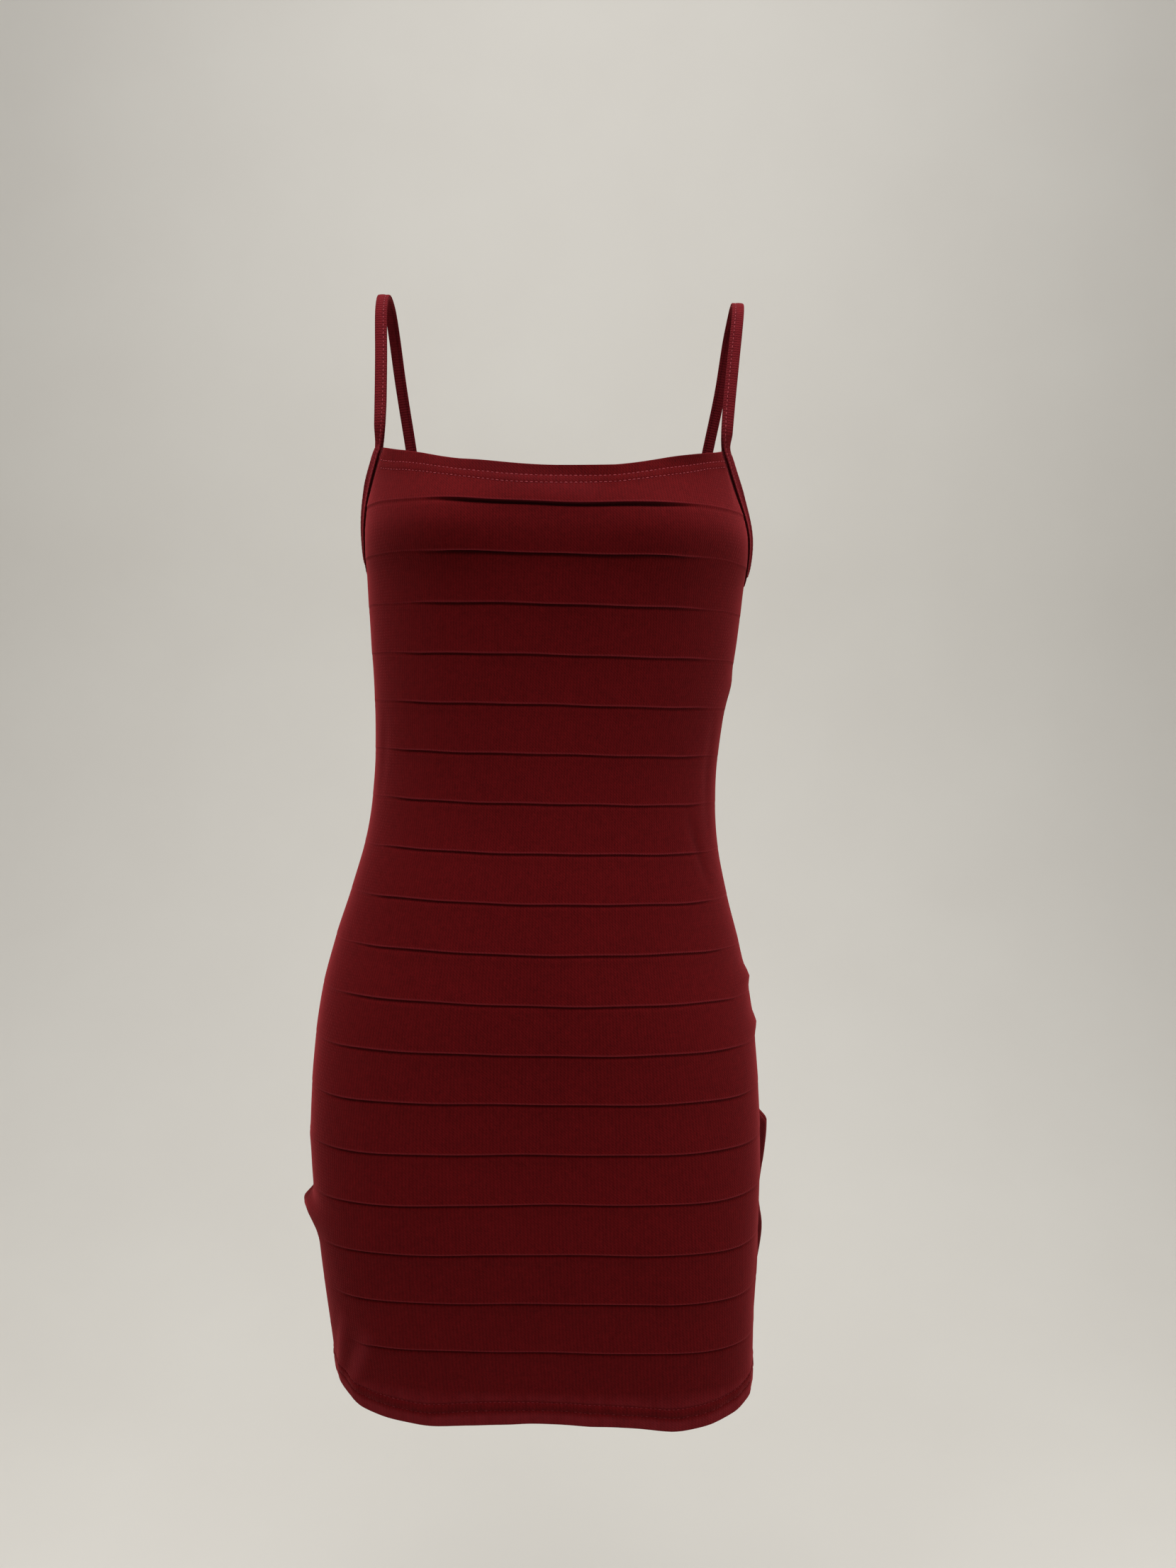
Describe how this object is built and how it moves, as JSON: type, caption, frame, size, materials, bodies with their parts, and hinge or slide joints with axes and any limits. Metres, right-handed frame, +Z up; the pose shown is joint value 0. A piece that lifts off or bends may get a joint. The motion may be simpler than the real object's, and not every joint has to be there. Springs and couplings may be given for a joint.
{
  "type": "bodycon dress",
  "caption": "Sleeveless square-neck bodycon mini dress in ribbed stretch knit with lapped horizontal bands and narrow shoulder straps, in its hollow worn form.",
  "frame": {"origin": "midway between the two straps where they rest on the wearer's shoulders, at the height of the straps' undersides there", "axes": "+Z up along the worn dress, front of the dress towards -Y, +X towards the wearer's left"},
  "size_m": [0.3373, 0.2078, 0.7843],
  "materials": {
    "knit": "matt vertical rib knit, burgundy",
    "tape": "folded self-fabric tape, burgundy"
  },
  "bodies": {
    "root": {"front_panel": "knit", "back_panel": "knit", "strap_binding_right": "tape", "strap_binding_left": "tape"}
  },
  "joints": []
}
